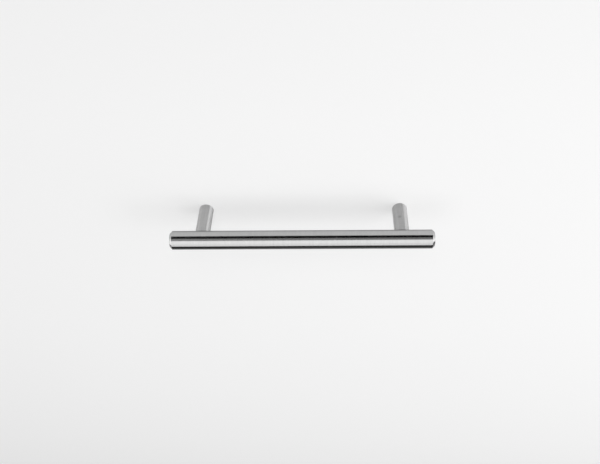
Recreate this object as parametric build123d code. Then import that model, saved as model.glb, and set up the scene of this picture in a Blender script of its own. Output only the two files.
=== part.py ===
from build123d import *

import os
from math import radians, sqrt, tan

# T bar cabinet pull: a round bar with chamfered ends, carried on two round posts.
#
# The pull is drawn as it sits on an upright surface. X runs along the bar, Z is up, and the
# mounting plane is Y = 0, so the bar stands out towards -Y. The origin is on the mounting
# plane, midway between the two screw holes. All sizes are millimetres.
#
# The bar and the posts are solid steel. The bar end of each post is coped to a saddle that
# seats on the round of the bar, and a socket set screw, used as a stud, ties the two together.
# The other end of each post is flat and tapped for the mounting screw.
# Threads are drawn plain: the mounting hole at its tapping drill, the stud at its full size.

# Bar
bar_diameter = 12.0
bar_overhang = 20.0  # from a post's centre to the end of the bar beside it
bar_end_chamfer = 1.5

# Posts
post_spacing = 128.0  # centre to centre, which is also the spacing of the screw holes
post_diameter = 9.5
projection = 35.0  # from the mounting plane to the front of the bar
post_foot_chamfer = 0.3
saddle_edge_break = 0.15

# Drilling
drill_point_angle = 118.0
web_between_holes = 2.0  # steel left between the tips of a post's two holes

# M4 mounting hole in the foot of each post
mounting_drill_diameter = 3.3
mounting_countersink = 0.5

# M5 socket set screw that joins a post to the bar
stud_diameter = 5.0
stud_length = 12.0
stud_in_bar = 6.0  # how far it reaches into the bar, from the back of the bar
stud_end_chamfer = 0.7
stud_clearance = 0.05  # all round the plain stud, in place of the thread's own play
stud_end_space = 0.5  # between the stud and the end of its hole
stud_countersink = 0.7
socket_across_flats = 2.5
socket_depth = 2.5
socket_lead_in = 0.15

# Worked out from the sizes above
bar_length = post_spacing + 2 * bar_overhang
bar_radius = bar_diameter / 2
post_radius = post_diameter / 2
bar_axis_y = -(projection - bar_radius)
bar_back_y = bar_axis_y + bar_radius
stud_hole_radius = stud_diameter / 2 + stud_clearance
stud_in_post = stud_length - stud_in_bar
stud_hole_in_bar = stud_in_bar + stud_end_space
stud_hole_in_post = stud_in_post + stud_end_space


def drill_point(radius):
    """Length of the cone that a drill of this radius leaves at the end of its hole."""
    return radius / tan(radians(drill_point_angle / 2))


mounting_drill_radius = mounting_drill_diameter / 2
mounting_hole_depth = (
    -bar_back_y
    - stud_hole_in_post
    - drill_point(stud_hole_radius)
    - web_between_holes
    - drill_point(mounting_drill_radius)
)


def facing(x, y, outward):
    """A plane across a hole's mouth at (x, y), whose normal points out of the hole."""
    return Plane(origin=(x, y, 0), x_dir=(1, 0, 0), z_dir=(0, outward, 0))


def drilled_hole(radius, depth, countersink):
    """A blind hole down -Z from a mouth at Z = 0, countersunk at 90 degrees.

    The cutter also stands out of the mouth, so that it clears the curve of a round bar.
    """
    mouth_radius = radius + countersink
    profile = Polyline(
        (0, bar_radius),
        (mouth_radius, bar_radius),
        (mouth_radius, 0),
        (radius, -countersink),
        (radius, -depth),
        (0, -depth - drill_point(radius)),
        close=True,
    )
    return revolve(Plane.XZ * make_face(profile), axis=Axis.Z)


def bar_cylinder(length):
    """A plain cylinder on the axis of the bar."""
    return Pos(0, bar_axis_y, 0) * Rot(0, 90, 0) * Cylinder(bar_radius, length)


def make_bar(post_places):
    """The bar: a solid rod, chamfered at both ends, with a tapped hole for each stud."""
    bar = bar_cylinder(bar_length)
    end_edges = bar.edges().filter_by(GeomType.CIRCLE)
    bar = chamfer(end_edges, bar_end_chamfer)
    stud_hole = drilled_hole(stud_hole_radius, stud_hole_in_bar, stud_countersink)
    for x in post_places:
        bar -= facing(x, bar_back_y, 1) * stud_hole
    return bar


def make_post(x):
    """A post: a solid rod from the mounting plane to its saddle on the bar, tapped at both ends."""
    rod = Cylinder(post_radius, -bar_axis_y, align=(Align.CENTER, Align.CENTER, Align.MAX))
    post = facing(x, 0, 1) * rod
    foot_edge = post.edges().filter_by(GeomType.CIRCLE).sort_by(Axis.Y)[-1]
    post = chamfer(foot_edge, post_foot_chamfer)
    post -= bar_cylinder(bar_length)
    saddle_face = post.faces().sort_by(Axis.Y)[0]
    post = chamfer(saddle_face.edges(), saddle_edge_break)
    post -= facing(x, 0, 1) * drilled_hole(
        mounting_drill_radius, mounting_hole_depth, mounting_countersink
    )
    post -= facing(x, bar_back_y, -1) * drilled_hole(
        stud_hole_radius, stud_hole_in_post, stud_countersink
    )
    return post


def make_stud(x):
    """A socket set screw, half in the bar and half in the post, its socket towards the post."""
    rod = Cylinder(stud_diameter / 2, stud_length, align=(Align.CENTER, Align.CENTER, Align.MAX))
    rod = chamfer(rod.edges().filter_by(GeomType.CIRCLE), stud_end_chamfer)
    hexagon = RegularPolygon(socket_across_flats / 2, 6, major_radius=False)
    socket = extrude(hexagon, -socket_depth)
    corner_radius = socket_across_flats / sqrt(3)
    lead_in = Cone(
        corner_radius - socket_lead_in,
        corner_radius + socket_lead_in,
        2 * socket_lead_in,
    )
    stud = rod - socket - lead_in
    return facing(x, bar_back_y + stud_in_post, 1) * stud


left_x = -post_spacing / 2
right_x = post_spacing / 2

nodes = {
    "bar": make_bar([left_x, right_x]),
    "post_left": make_post(left_x),
    "post_right": make_post(right_x),
    "stud_left": make_stud(left_x),
    "stud_right": make_stud(right_x),
}

os.makedirs("parts", exist_ok=True)
for name, shape in nodes.items():
    export_step(shape, f"parts/{name}.step")
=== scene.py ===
# A steel T bar cabinet pull on a plain white backdrop that stands where it would be mounted.
#
# Lengths are metres, in the same frame as the solids: X along the bar, Z up, and Y = 0 is the
# mounting plane, with the bar on the -Y side. The bar and the posts are modelled here again,
# with the softened edges and the cut thread that the plain solids leave out.
import math

import bmesh
import bpy
from mathutils import Matrix, Vector


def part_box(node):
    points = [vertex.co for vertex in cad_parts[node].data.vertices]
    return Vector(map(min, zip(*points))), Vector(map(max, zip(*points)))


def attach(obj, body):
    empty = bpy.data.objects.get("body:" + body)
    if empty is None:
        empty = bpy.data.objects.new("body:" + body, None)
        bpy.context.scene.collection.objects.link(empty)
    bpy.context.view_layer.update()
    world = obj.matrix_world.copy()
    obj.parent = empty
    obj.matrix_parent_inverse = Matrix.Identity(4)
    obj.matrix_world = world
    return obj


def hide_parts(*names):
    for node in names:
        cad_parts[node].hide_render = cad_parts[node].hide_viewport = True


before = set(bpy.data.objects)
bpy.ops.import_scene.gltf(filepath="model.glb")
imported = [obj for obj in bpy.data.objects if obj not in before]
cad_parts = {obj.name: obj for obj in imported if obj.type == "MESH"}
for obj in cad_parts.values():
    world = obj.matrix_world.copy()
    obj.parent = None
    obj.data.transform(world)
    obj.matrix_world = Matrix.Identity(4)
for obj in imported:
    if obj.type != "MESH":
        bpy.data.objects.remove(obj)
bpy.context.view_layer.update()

MM = 0.001

# Sizes read from the solids
bar_low, bar_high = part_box("bar")
post_low, post_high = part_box("post_left")
stud_low, stud_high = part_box("stud_left")
bar_half_length = (bar_high.x - bar_low.x) / 2
bar_radius = (bar_high.z - bar_low.z) / 2
post_radius = (post_high.x - post_low.x) / 2
post_centres = {
    name: sum(corner.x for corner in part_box(name)) / 2 for name in ("post_left", "post_right")
}
stud_radius = (stud_high.x - stud_low.x) / 2
stud_end_in_bar = stud_low.y
stud_end_in_post = stud_high.y
# Half of each stud is in the bar
bar_back_y = (stud_end_in_bar + stud_end_in_post) / 2
bar_axis_y = bar_back_y - bar_radius

# Sizes of the solids that no box gives
bar_end_chamfer = 1.5 * MM
post_foot_chamfer = 0.3 * MM
saddle_edge_break = 0.15 * MM
drill_point_angle = math.radians(118)
stud_clearance = 0.05 * MM
stud_end_space = 0.5 * MM
stud_countersink = 0.7 * MM
web_between_holes = 2.0 * MM
stud_hole_radius = stud_radius + stud_clearance
stud_hole_mouth = stud_hole_radius + stud_countersink

# M4 thread of the mounting holes
thread_pitch = 0.7 * MM
thread_minor_radius = 1.65 * MM
thread_major_radius = 2.0 * MM
thread_countersink = 0.5 * MM
thread_runout = 1.0 * MM
plain_hole_end = 0.5 * MM  # between the end of the run-out and the end of the hole's wall
# The thread's form, as shares of its pitch
half_root_flat = 1 / 16
flank = 5 / 16

# Softened edges
edge_radius = 0.12 * MM
foot_edge_radius = 0.08 * MM
edge_steps = 4
sharp_angle = math.radians(35)

# Mesh density
bar_segments = 192
bar_stretches = 24
post_segments = 144
saddle_steps = 6
outside_steps = 16
rings_per_pitch = 12
weld_distance = 0.001 * MM

# Rings of points that keep the faces beside a softened edge flat
bar_face_ring = 0.3 * MM  # radius of the inmost ring on each end face
bar_side_ring = 3 * bar_end_chamfer  # from the bar's end to the first ring on its side
post_side_ring = 2 * MM  # from the post's foot to the last ring on its side
post_face_ring = thread_major_radius + 1.2 * MM  # radius of the inmost ring on the foot


def drill_point(radius):
    """Length of the cone that a drill of this radius leaves at the end of its hole."""
    return radius / math.tan(drill_point_angle / 2)


# Objects and meshes


def new_object(name, data):
    """A scene object for a mesh, curve, lamp or camera."""
    obj = bpy.data.objects.new(name, data)
    bpy.context.scene.collection.objects.link(obj)
    return obj


def evaluated_mesh(obj):
    """A new mesh of an object as its modifiers, or its curve's filling, leave it."""
    bpy.context.view_layer.update()
    depsgraph = bpy.context.evaluated_depsgraph_get()
    return bpy.data.meshes.new_from_object(obj.evaluated_get(depsgraph))


def clean(mesh):
    """Merges points that lie together, and turns every face of a closed mesh outward."""
    shape = bmesh.new()
    shape.from_mesh(mesh)
    bmesh.ops.remove_doubles(shape, verts=shape.verts, dist=weld_distance)
    bmesh.ops.dissolve_degenerate(shape, edges=shape.edges, dist=weld_distance)
    bmesh.ops.recalc_face_normals(shape, faces=shape.faces)
    shape.to_mesh(mesh)
    shape.free()


def skin(name, rings):
    """A closed mesh through rings of points. The first and the last ring hold one point each."""
    segments = len(rings[1])
    points = [point for ring in rings for point in ring]
    faces = []
    first = 1
    last = 1 + (len(rings) - 3) * segments
    for k in range(segments):
        after = (k + 1) % segments
        faces.append((0, first + after, first + k))
        faces.append((len(points) - 1, last + k, last + after))
        for start in range(first, last, segments):
            end = start + segments
            faces.append((start + k, start + after, end + after, end + k))
    mesh = bpy.data.meshes.new(name)
    mesh.from_pydata(points, [], faces)
    clean(mesh)
    mesh.validate()
    return mesh


def piece(name, rings):
    """An object with a skin through rings of points, smooth except at its sharp edges."""
    mesh = skin(name, rings)
    for polygon in mesh.polygons:
        polygon.use_smooth = True
    mesh.set_sharp_from_angle(angle=sharp_angle)
    return new_object(name, mesh)


def rounded(corners, radius):
    """A profile with its inner corners rounded, as (place along the axis, radius) pairs."""
    points = [corners[0]]
    for before, corner, after in zip(corners, corners[1:], corners[2:]):
        corner = Vector(corner)
        towards_before = (Vector(before) - corner).normalized()
        towards_after = (Vector(after) - corner).normalized()
        inward = (towards_before + towards_after).normalized()
        half_turn = towards_before.angle(towards_after) / 2
        back = radius / math.tan(half_turn)
        centre = corner + inward * radius / math.sin(half_turn)
        start = corner + towards_before * back - centre
        end = corner + towards_after * back - centre
        for step in range(edge_steps + 1):
            arm = start.lerp(end, step / edge_steps)
            points.append(tuple(centre + arm.normalized() * radius))
    points.append(corners[-1])
    return points


# Rings of points


def circle(count):
    """The angles of a ring's points."""
    return [2 * math.pi * k / count for k in range(count)]


def bar_ring(x, radius):
    """Points around the bar's axis at one place along it."""
    return [
        (x, bar_axis_y + radius * math.cos(angle), radius * math.sin(angle))
        for angle in circle(bar_segments)
    ]


def bent_ring(x, radius, y_at):
    """Points around an axis along Y, each with the Y that y_at gives for its height."""
    points = []
    for angle in circle(post_segments):
        z = radius * math.sin(angle)
        points.append((x + radius * math.cos(angle), y_at(z), z))
    return points


def flat_ring(x, radius, y):
    """Points around an axis along Y, all at one place along it."""
    return bent_ring(x, radius, lambda z: y)


def thread_radius(angle, y):
    """Radius of a right-hand ISO thread at full depth, with flats at its crest and its root."""
    turn = (y / thread_pitch + angle / (2 * math.pi)) % 1.0
    # The middle of the root is half a turn on from the middle of the crest
    from_root = abs(turn - 0.5)
    depth = min(1.0, max(0.0, (half_root_flat + flank - from_root) / flank))
    return thread_minor_radius + depth * (thread_major_radius - thread_minor_radius)


def thread_ring(x, y, cut):
    """Points around a mounting hole. The thread is cut to the given share of its full depth."""
    cone = thread_minor_radius + thread_countersink + y
    points = []
    for angle in circle(post_segments):
        threaded = thread_minor_radius + cut * (thread_radius(angle, y) - thread_minor_radius)
        radius = max(threaded, cone)
        points.append((x + radius * math.cos(angle), y, radius * math.sin(angle)))
    return points


# The pieces


def saddle_y(z):
    """Where the back of the bar lies, at a height above its axis."""
    return bar_axis_y + math.sqrt(bar_radius**2 - z**2)


def stud_hole_cutter(x):
    """The space that a stud's drilled hole takes out of the bar."""
    wall_end = stud_end_in_bar - stud_end_space
    rings = [
        [(x, wall_end - drill_point(stud_hole_radius), 0)],
        flat_ring(x, stud_hole_radius, wall_end),
        flat_ring(x, stud_hole_radius, bar_back_y - stud_countersink),
        flat_ring(x, stud_hole_mouth, bar_back_y),
        flat_ring(x, stud_hole_mouth, bar_back_y + bar_radius),
        [(x, bar_back_y + bar_radius, 0)],
    ]
    return piece("stud_hole_cutter", rings)


def make_bar():
    """The bar: a turned rod with softened chamfers, faced ends and the studs' blind holes."""
    left_corners = [
        (-bar_half_length, bar_face_ring),
        (-bar_half_length, bar_radius - bar_end_chamfer),
        (-bar_half_length + bar_end_chamfer, bar_radius),
        (-bar_half_length + bar_side_ring, bar_radius),
    ]
    left_end = rounded(left_corners, edge_radius)
    right_end = [(-x, radius) for x, radius in reversed(left_end)]
    stretch = (right_end[0][0] - left_end[-1][0]) / bar_stretches
    middle = [(left_end[-1][0] + step * stretch, bar_radius) for step in range(1, bar_stretches)]
    rings = [[(-bar_half_length, bar_axis_y, 0)]]
    rings += [bar_ring(x, radius) for x, radius in left_end + middle + right_end]
    rings += [[(bar_half_length, bar_axis_y, 0)]]
    bar = piece("bar_rod", rings)

    # The studs' holes
    cutters = [stud_hole_cutter(x) for x in post_centres.values()]
    for cutter in cutters:
        cut = bar.modifiers.new("cut", "BOOLEAN")
        cut.operation = "DIFFERENCE"
        cut.solver = "EXACT"
        cut.object = cutter
    drilled = evaluated_mesh(bar)
    clean(drilled)
    drilled.set_sharp_from_angle(angle=sharp_angle)
    bar.modifiers.clear()
    bar.data = drilled
    for cutter in cutters:
        bpy.data.objects.remove(cutter)
    return bar


def make_post(name):
    """A post: a turned rod with a saddle for the bar, a stud hole and a threaded mounting hole."""
    x = post_centres[name]

    # The stud's hole, from its drilled tip out to the saddle
    stud_wall_end = stud_end_in_post + stud_end_space
    stud_hole_tip = stud_wall_end + drill_point(stud_hole_radius)
    rings = [
        [(x, stud_hole_tip, 0)],
        flat_ring(x, stud_hole_radius, stud_wall_end),
        flat_ring(x, stud_hole_radius, bar_back_y + stud_countersink),
    ]

    # The saddle
    rim = post_radius - saddle_edge_break
    for step in range(saddle_steps + 1):
        radius = stud_hole_mouth + (rim - stud_hole_mouth) * step / saddle_steps
        rings.append(bent_ring(x, radius, saddle_y))

    # The outside, from the saddle's broken edge to the foot
    foot_corners = [
        (-post_side_ring, post_radius),
        (-post_foot_chamfer, post_radius),
        (0, post_radius - post_foot_chamfer),
        (0, post_face_ring),
    ]

    def outside_y(z, share):
        return (1 - share) * (saddle_y(z) + saddle_edge_break) - share * post_side_ring

    for step in range(outside_steps):
        share = step / outside_steps
        rings.append(bent_ring(x, post_radius, lambda z, share=share: outside_y(z, share)))
    rings += [flat_ring(x, radius, y) for y, radius in rounded(foot_corners, foot_edge_radius)]

    # The mounting hole, from its countersunk mouth in to its drilled tip
    point = drill_point(thread_minor_radius)
    wall_end = stud_hole_tip + web_between_holes + point
    thread_steps = round(-wall_end / thread_pitch * rings_per_pitch)
    for step in range(thread_steps + 1):
        y = wall_end * step / thread_steps
        cut = min(1.0, max(0.0, (y - wall_end - plain_hole_end) / thread_runout))
        rings.append(thread_ring(x, y, cut))
    rings.append([(x, wall_end - point, 0)])
    return piece(name + "_rod", rings)


# Materials

# Settings of each noise texture
broad_marks = {"Scale": 1.1, "Detail": 3, "Roughness": 0.6}
fine_marks = {"Scale": 9, "Detail": 4, "Roughness": 0.7}
streak_marks = {"Scale": 0.9, "Detail": 2, "Roughness": 0.6}
steel_clouds = {"Scale": 140, "Detail": 3, "Roughness": 0.55}
oxide_clouds = {"Scale": 900, "Detail": 4, "Roughness": 0.6}
# How close together marks lie along a piece and around it, as a pair
turning_stretch = (1000, 60)
streak_stretch = (50, 1000)
# How much closer together the turning marks lie on an end face than along the side
face_stretch = 1.7
# What each noise adds to the steel's marks, and then to its shade
broad_share = 0.6
fine_share = 0.4
marks_share = 0.7
clouds_share = 0.3
# A noise's middle level, and the levels that its darkest and lightest tones belong to
noise_middle = 0.5
noise_low = 0.3
noise_high = 0.7

# Turned steel, whose tone goes from the first to the second share of what its finish says
darkest_share = 0.93
lightest_share = 1.07
roughness_spread = 0.08
steel_bump = {"Strength": 0.35, "Distance": 2e-6}
quarter_turn = 0.25
# A painted highlight: the bar's colour is made brighter where its distances along and from its axis
# add up to the chamfer's reach
painted_chamfer_highlight = {
    "reach": bar_half_length + bar_radius - bar_end_chamfer,
    "soft": 0.1 * MM,
    "highlight_gain": 0.25,
}
bar_finish = {"tone": 0.48, "roughness": 0.17, "edge": 0.4, "chamfer": painted_chamfer_highlight}
post_finish = {"roughness": 0.30, "edge": 0.9, "streak": 0.25}
# The right post's steel is painted darker than the left's, as painted shade for the darker wall
# that it mirrors
post_tones_with_painted_shade = {"post_left": 0.505, "post_right": 0.465}
dull_marks = {
    "post_right": {"place": (0.0630, -0.0130, 0.0047), "radius": 1.6 * MM, "depth": 0.32},
}

# Black oxide, whose tone and roughness each go from the first value to the second
oxide_tone = (0.02, 0.05)
oxide_roughness = (0.35, 0.55)
oxide_metallic = 0.8
oxide_bump = {"Strength": 0.3, "Distance": 5e-6}


def grey(level):
    """An opaque grey."""
    return (level, level, level, 1)


class Nodes:
    """Fills the node tree of a new material or world.

    A node's inputs are plain values, or the outputs of other nodes, which are joined to them.
    """

    def __init__(self, owner):
        owner.use_nodes = True
        self.tree = owner.node_tree
        self.tree.nodes.clear()

    def add(self, kind, inputs=None, **settings):
        """A new node."""
        node = self.tree.nodes.new(kind)
        for key, value in settings.items():
            setattr(node, key, value)
        for key, value in (inputs or {}).items():
            if isinstance(value, bpy.types.NodeSocket):
                self.tree.links.new(value, node.inputs[key])
            else:
                node.inputs[key].default_value = value
        return node

    def out(self, kind, inputs=None, socket=0, **settings):
        """One output of a new node."""
        return self.add(kind, inputs, **settings).outputs[socket]

    def math(self, operation, *values, clamp=False):
        """The result of a calculation with values."""
        inputs = dict(enumerate(values))
        return self.out("ShaderNodeMath", inputs, operation=operation, use_clamp=clamp)

    def weighted(self, first, first_share, second, second_share):
        """Two values, each times its share, added up."""
        first_part = self.math("MULTIPLY", first, first_share)
        second_part = self.math("MULTIPLY", second, second_share)
        return self.math("ADD", first_part, second_part)

    def varied(self, middle, noise, spread):
        """A value that a noise moves up and down about its middle."""
        shift = self.math("MULTIPLY", self.math("SUBTRACT", noise, noise_middle), spread)
        return self.math("ADD", middle, shift)

    def near(self, distance, reach):
        """1 where a distance is nothing, down to 0 at the reach and beyond."""
        return self.math("SUBTRACT", 1, self.math("DIVIDE", distance, reach), clamp=True)

    def scaled(self, colour, factor):
        """A colour times a factor."""
        return self.out("ShaderNodeVectorMath", {0: colour, "Scale": factor}, operation="SCALE")

    def noise(self, place, settings):
        """A noise texture's level at a place."""
        return self.out("ShaderNodeTexNoise", {"Vector": place, **settings})

    def ramp(self, factor, stops):
        """A grey that follows a factor through stops, which are (position, level) pairs."""
        node = self.add("ShaderNodeValToRGB", {"Fac": factor})
        elements = node.color_ramp.elements
        while len(elements) < len(stops):
            elements.new(1.0)
        for element, (position, level) in zip(elements, stops):
            element.position = position
            element.color = grey(level)
        return node.outputs["Color"]

    def noise_ramp(self, noise, lowest, highest):
        """A grey between two levels that follows a noise."""
        return self.ramp(noise, [(noise_low, lowest), (noise_high, highest)])

    def mixed_shaders(self, share, first, second):
        """The first shader where the share is 0, and the second where it is 1."""
        return self.out("ShaderNodeMixShader", {0: share, 1: first, 2: second})


def turned_steel(name, axis, centre, tone, roughness, edge, streak=0.0, smudge=None, chamfer=None):
    """Turned and polished steel: fine marks that run round the axis, and a long soft sheen.

    The edge is the tint of what it mirrors at a grazing angle. A piece may also have faint
    streaks along its axis, one dull mark on its surface, and a painted highlight that makes
    its end chamfers brighter than the rest.
    """
    material = bpy.data.materials.new(name)
    nodes = Nodes(material)
    place = nodes.out("ShaderNodeTexCoord", socket="Object")
    local = nodes.out("ShaderNodeVectorMath", {0: place, 1: centre}, operation="SUBTRACT")
    split = nodes.add("ShaderNodeSeparateXYZ", {0: local}).outputs
    along = split[axis]
    across = [split[letter] for letter in "XYZ" if letter != axis]
    squares = [nodes.math("MULTIPLY", part, part) for part in across]
    from_axis = nodes.math("SQRT", nodes.math("ADD", *squares))
    profile = nodes.math("ADD", along, nodes.math("MULTIPLY", from_axis, face_stretch))

    def stretched(lengthwise, stretch):
        parts = [nodes.math("MULTIPLY", lengthwise, stretch[0])]
        parts += [nodes.math("MULTIPLY", part, stretch[1]) for part in across]
        return nodes.out("ShaderNodeCombineXYZ", dict(enumerate(parts)))

    # Marks left by turning: close together along the profile, long around the axis
    marks_place = stretched(profile, turning_stretch)
    broad = nodes.noise(marks_place, broad_marks)
    fine = nodes.noise(marks_place, fine_marks)
    clouds = nodes.noise(local, steel_clouds)
    marks = nodes.weighted(broad, broad_share, fine, fine_share)
    shade = nodes.weighted(marks, marks_share, clouds, clouds_share)
    colour = nodes.noise_ramp(shade, tone * darkest_share, tone * lightest_share)
    if streak:
        streaks = nodes.noise(stretched(along, streak_stretch), streak_marks)
        colour = nodes.scaled(colour, nodes.varied(1, streaks, streak))
    if smudge:
        ends = {0: place, 1: smudge["place"]}
        gap = nodes.out("ShaderNodeVectorMath", ends, socket="Value", operation="DISTANCE")
        loss = nodes.math("MULTIPLY", nodes.near(gap, smudge["radius"]), smudge["depth"])
        colour = nodes.scaled(colour, nodes.math("SUBTRACT", 1, loss))
    if chamfer:
        # A painted highlight on the end chamfers: on a 45 degree chamfer, the distances along and
        # from the axis add up to the most
        reach = nodes.math("ADD", nodes.math("ABSOLUTE", along), from_axis)
        short = nodes.math("SUBTRACT", chamfer["reach"], reach)
        highlight_gain = nodes.math("MULTIPLY", nodes.near(short, chamfer["soft"]), chamfer["highlight_gain"])
        colour = nodes.scaled(colour, nodes.math("ADD", 1, highlight_gain))
    surface = nodes.out(
        "ShaderNodeBsdfPrincipled",
        {
            "Base Color": colour,
            "Metallic": 1.0,
            "Roughness": nodes.varied(roughness, clouds, roughness_spread),
            "Anisotropic": 1.0,
            "Anisotropic Rotation": quarter_turn,
            "Specular Tint": grey(edge),
            "Normal": nodes.out("ShaderNodeBump", {"Height": marks, **steel_bump}),
            "Tangent": nodes.out("ShaderNodeTangent", direction_type="RADIAL", axis=axis),
        },
    )
    nodes.add("ShaderNodeOutputMaterial", {"Surface": surface})
    return material


def blackened_steel():
    """Black oxide on the hidden studs: nearly black, with a dull sheen and small marks."""
    material = bpy.data.materials.new("blackened_steel")
    nodes = Nodes(material)
    clouds = nodes.noise(nodes.out("ShaderNodeTexCoord", socket="Object"), oxide_clouds)
    surface = nodes.out(
        "ShaderNodeBsdfPrincipled",
        {
            "Base Color": nodes.noise_ramp(clouds, *oxide_tone),
            "Metallic": oxide_metallic,
            "Roughness": nodes.noise_ramp(clouds, *oxide_roughness),
            "Normal": nodes.out("ShaderNodeBump", {"Height": clouds, **oxide_bump}),
        },
    )
    nodes.add("ShaderNodeOutputMaterial", {"Surface": surface})
    return material


# The backdrop

# Its corners, as (X, Z) pairs
backdrop_corners = [(-0.36, -0.43), (0.30, -0.43), (0.30, 0.43), (-0.36, 0.43)]
backdrop_hole_segments = 64
backdrop_level = 0.86
# How much of what is seen of the backdrop is its own glow, and not the light on it
backdrop_glow_share = 0.57
# Brightness of the painted glow at each height, dimmer towards the bottom and the top as painted
# shade, as (metres, brightness) pairs
backdrop_glow = [
    (-0.36, 0.83),
    (-0.29, 0.875),
    (-0.22, 0.90),
    (-0.12, 0.925),
    (0.07, 0.925),
    (0.17, 0.89),
]


def backdrop_white():
    """White for the backdrop, partly a painted glow that dims towards the bottom and the top as
    painted shade, and clear from behind so that the pull's back can be seen.
    """
    material = bpy.data.materials.new("backdrop_white")
    nodes = Nodes(material)
    place = nodes.out("ShaderNodeTexCoord", socket="Object")
    height = nodes.out("ShaderNodeSeparateXYZ", {0: place}, socket="Z")
    lowest = backdrop_glow[0][0]
    reach = backdrop_glow[-1][0] - lowest
    share = nodes.math("DIVIDE", nodes.math("SUBTRACT", height, lowest), reach)
    brightness = nodes.ramp(share, [((z - lowest) / reach, level) for z, level in backdrop_glow])

    rays = nodes.add("ShaderNodeLightPath").outputs
    mirrored = nodes.math("MAXIMUM", rays["Is Glossy Ray"], rays["Is Transmission Ray"])
    seen = nodes.math("MAXIMUM", rays["Is Camera Ray"], mirrored)
    white = nodes.out("ShaderNodeBsdfDiffuse", {"Color": grey(backdrop_level)})
    # Painted light: the backdrop's glow, dimmer towards the bottom and the top
    glow = nodes.out("ShaderNodeEmission", {"Color": brightness})
    front = nodes.mixed_shaders(nodes.math("MULTIPLY", seen, backdrop_glow_share), white, glow)
    behind = nodes.out("ShaderNodeNewGeometry", socket="Backfacing")
    clear = nodes.out("ShaderNodeBsdfTransparent")
    surface = nodes.mixed_shaders(behind, front, clear)
    nodes.add("ShaderNodeOutputMaterial", {"Surface": surface})
    return material


def make_backdrop():
    """The white plane behind the pull, with a hole behind each post that leaves its foot clear."""
    hole_radius = post_radius - post_foot_chamfer
    outlines = [backdrop_corners]
    for x in post_centres.values():
        outlines.append(
            [
                (x + hole_radius * math.cos(angle), hole_radius * math.sin(angle))
                for angle in circle(backdrop_hole_segments)
            ]
        )
    curve = bpy.data.curves.new("backdrop", "CURVE")
    curve.dimensions = "2D"
    curve.fill_mode = "BOTH"
    for outline in outlines:
        spline = curve.splines.new("POLY")
        spline.points.add(len(outline) - 1)
        spline.use_cyclic_u = True
        for point, (x, z) in zip(spline.points, outline):
            point.co = (x, z, 0, 1)
    flat = new_object("backdrop_outline", curve)
    mesh = evaluated_mesh(flat)
    bpy.data.objects.remove(flat)
    # The outline was drawn flat, and is turned upright to face the bar's side
    mesh.transform(Matrix.Rotation(math.radians(90), 4, "X"))
    if mesh.polygons[0].normal.y > 0:
        mesh.flip_normals()
    mesh.materials.append(backdrop_white())
    backdrop = new_object("backdrop", mesh)


# Light

# The world's brightness as it lights the scene, and as the camera sees it
ambient = 0.22
pale = 0.90
# Each lamp: the middle of it, what it faces, its width and height, and its brightness
lamps = {
    "front_lamp": ((0, -0.8, 0), (0, 0, 0), 0.9, 0.9, 0.71),
    "front_left_lamp": ((-0.31, -0.85, 0), (0, 0, 0), 0.5, 0.5, 1.58),
    "top_lamp": ((0, -1.16, 1.38), (0, 0, 0), 0.8, 0.8, 3.5),
    "side_lamp": ((1.38, -1.16, 0.06), (0, 0, 0), 0.8, 0.8, 4.7),
    "side_panel": ((0.72, -0.2, 0.01), (0, -0.2, 0.01), 1.4, 1.12, 1.5),
}
# The window at the right, which only the posts mirror
window = ((0.70, -0.2, 0.169), (0, -0.2, 0.169), 1.4, 0.802, 2.6)

# What the steel mirrors of the room around it, as (degrees, brightness) pairs.
# In front, the angle is measured round the bar's axis, up from straight ahead.
front_bands = [
    (-180, 0.90),
    (-100, 0.90),
    (-96, 0.22),
    (-79, 0.16),
    (-63, 0.07),
    (-49, 0.035),
    (-37.6, 0.035),
    (-35.6, 1.36),
    (-11, 1.40),
    (6, 1.54),
    (35.4, 1.54),
    (38.9, 0.29),
    (62, 0.26),
    (66, 0.0),
    (96, 0.0),
    (100, 0.90),
    (180, 0.90),
]
# Farther left in front, the band above the bright one is lighter
lighter_band_from = 37
lighter_band_to = 63
lighter_band_level = 0.52
front_left_bands = [
    (angle, lighter_band_level if lighter_band_from < angle < lighter_band_to else level)
    for angle, level in front_bands
]
# The bands in front lean: their angle grows by this many degrees for each unit to the right
front_lean = 14.4
# To the right and to the left, the angle is above level
right_bands = [(-90, 0.03), (-20, 0.03), (-17, 1.7), (38, 1.7), (41, 0.03), (50, 0.0), (90, 0.0)]
left_bands = [(-90, 0.03), (-34, 0.03), (-30, 1.6), (30, 1.6), (50, 0.3), (90, 0.0)]
# Where bands give way to others, by how far a direction points along X
front_left_from = -0.167
front_left_to = -0.189
side_from = 0.35
side_to = 0.55


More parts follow.
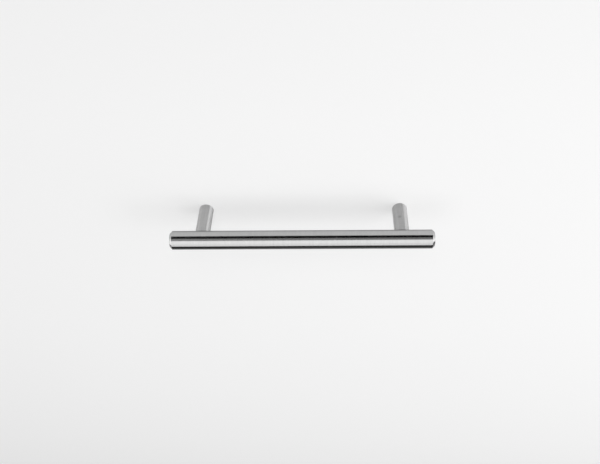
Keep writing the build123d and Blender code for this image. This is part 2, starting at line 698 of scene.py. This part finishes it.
def make_world():
    """Even pale light, with the room's bands of light and dark for what the steel reflects."""
    world = bpy.data.worlds.new("room")
    nodes = Nodes(world)

    def angle_between(rise, run):
        return nodes.math("DEGREES", nodes.math("ARCTAN2", rise, run))

    # The ramps cover the whole turn, from -180 to 180 degrees
    def bands(angle, stops):
        share = nodes.math("ADD", nodes.math("DIVIDE", angle, 360), 0.5)
        return nodes.ramp(share, [((degrees + 180) / 360, level) for degrees, level in stops])

    def fade(value, start, end):
        inputs = {"Value": value, "From Min": start, "From Max": end}
        return nodes.out("ShaderNodeMapRange", inputs, interpolation_type="SMOOTHSTEP")

    def blend(share, first, second):
        inputs = {"Factor": share, "A": first, "B": second}
        return nodes.out("ShaderNodeMix", inputs, data_type="FLOAT")

    towards = nodes.out("ShaderNodeTexCoord", socket="Generated")
    split = nodes.add("ShaderNodeSeparateXYZ", {0: towards}).outputs
    ahead = nodes.math("MULTIPLY", split["Y"], -1)
    turn = angle_between(split["Z"], ahead)
    lean = nodes.math("SUBTRACT", turn, nodes.math("MULTIPLY", split["X"], front_lean))
    front = blend(
        fade(split["X"], front_left_from, front_left_to),
        bands(lean, front_bands),
        bands(lean, front_left_bands),
    )
    sideways = nodes.math("ABSOLUTE", split["X"])
    rise = angle_between(split["Z"], sideways)
    side = blend(
        nodes.math("GREATER_THAN", split["X"], 0.0),
        bands(rise, left_bands),
        bands(rise, right_bands),
    )
    mirrored_level = blend(fade(sideways, side_from, side_to), front, side)

    rays = nodes.add("ShaderNodeLightPath").outputs
    plain = nodes.out("ShaderNodeBackground", {"Color": grey(ambient)})
    seen = nodes.out("ShaderNodeBackground", {"Color": grey(pale)})
    mirrored = nodes.out("ShaderNodeBackground", {"Color": grey(1), "Strength": mirrored_level})
    lit = nodes.mixed_shaders(rays["Is Glossy Ray"], plain, mirrored)
    surface = nodes.mixed_shaders(rays["Is Camera Ray"], lit, seen)
    nodes.add("ShaderNodeOutputWorld", {"Surface": surface})
    bpy.context.scene.world = world


def make_lamp(name, place, faces, width, height, brightness, mirrored_by=()):
    """A rectangular lamp that lights matt surfaces, or one that only some pieces mirror."""
    light = bpy.data.lights.new(name, "AREA")
    light.shape = "RECTANGLE"
    light.size = width
    light.size_y = height
    light.energy = brightness * math.pi * width * height
    lamp = new_object(name, light)
    lamp.location = place
    lamp.rotation_euler = (Vector(faces) - Vector(place)).to_track_quat("-Z", "Y").to_euler()
    lamp.visible_camera = False
    lamp.visible_glossy = bool(mirrored_by)
    lamp.visible_diffuse = not mirrored_by
    if mirrored_by:
        receivers = bpy.data.collections.new(name + "_receivers")
        for obj in mirrored_by:
            receivers.objects.link(obj)
        lamp.light_linking.receiver_collection = receivers


# Camera

camera_place = Vector((0.01641, -0.36340, 0.33329))
camera_target = Vector((-0.0008, -0.0289, 0.00675))
camera_roll = math.radians(-2.37)
# Focal length and sensor width, in millimetres
camera_lens = 44.55
camera_sensor_width = 36
camera_clip_start = 0.01


def make_camera():
    """The camera above and in front of the pull, tilted a little as the photograph is."""
    data = bpy.data.cameras.new("camera")
    data.sensor_width = camera_sensor_width
    data.lens = camera_lens
    data.clip_start = camera_clip_start
    camera = new_object("camera", data)
    aim = (camera_target - camera_place).to_track_quat("-Z", "Y").to_matrix()
    turned = (aim @ Matrix.Rotation(camera_roll, 3, "Z")).to_4x4()
    camera.matrix_world = Matrix.Translation(camera_place) @ turned
    bpy.context.scene.camera = camera


# The scene

bar = make_bar()
bar_centre = (0, bar_axis_y, 0)
bar.data.materials.append(turned_steel("bar_steel", "X", bar_centre, **bar_finish))
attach(bar, "root")
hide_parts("bar")

posts = []
# Each post's tone; the right one is darkened as painted shade
for name, tone in post_tones_with_painted_shade.items():
    post = make_post(name)
    posts.append(post)
    post_centre = (post_centres[name], 0, 0)
    smudge = dull_marks.get(name)
    post_steel = turned_steel(name + "_steel", "Y", post_centre, tone, smudge=smudge, **post_finish)
    post.data.materials.append(post_steel)
    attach(post, "root")
    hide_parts(name)

stud_finish = blackened_steel()
for name in ("stud_left", "stud_right"):
    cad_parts[name].data.materials.clear()
    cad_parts[name].data.materials.append(stud_finish)

make_backdrop()
make_world()
for name, settings in lamps.items():
    make_lamp(name, *settings)
make_lamp("window", *window, mirrored_by=posts)
make_camera()
bpy.context.scene.view_settings.view_transform = "Standard"
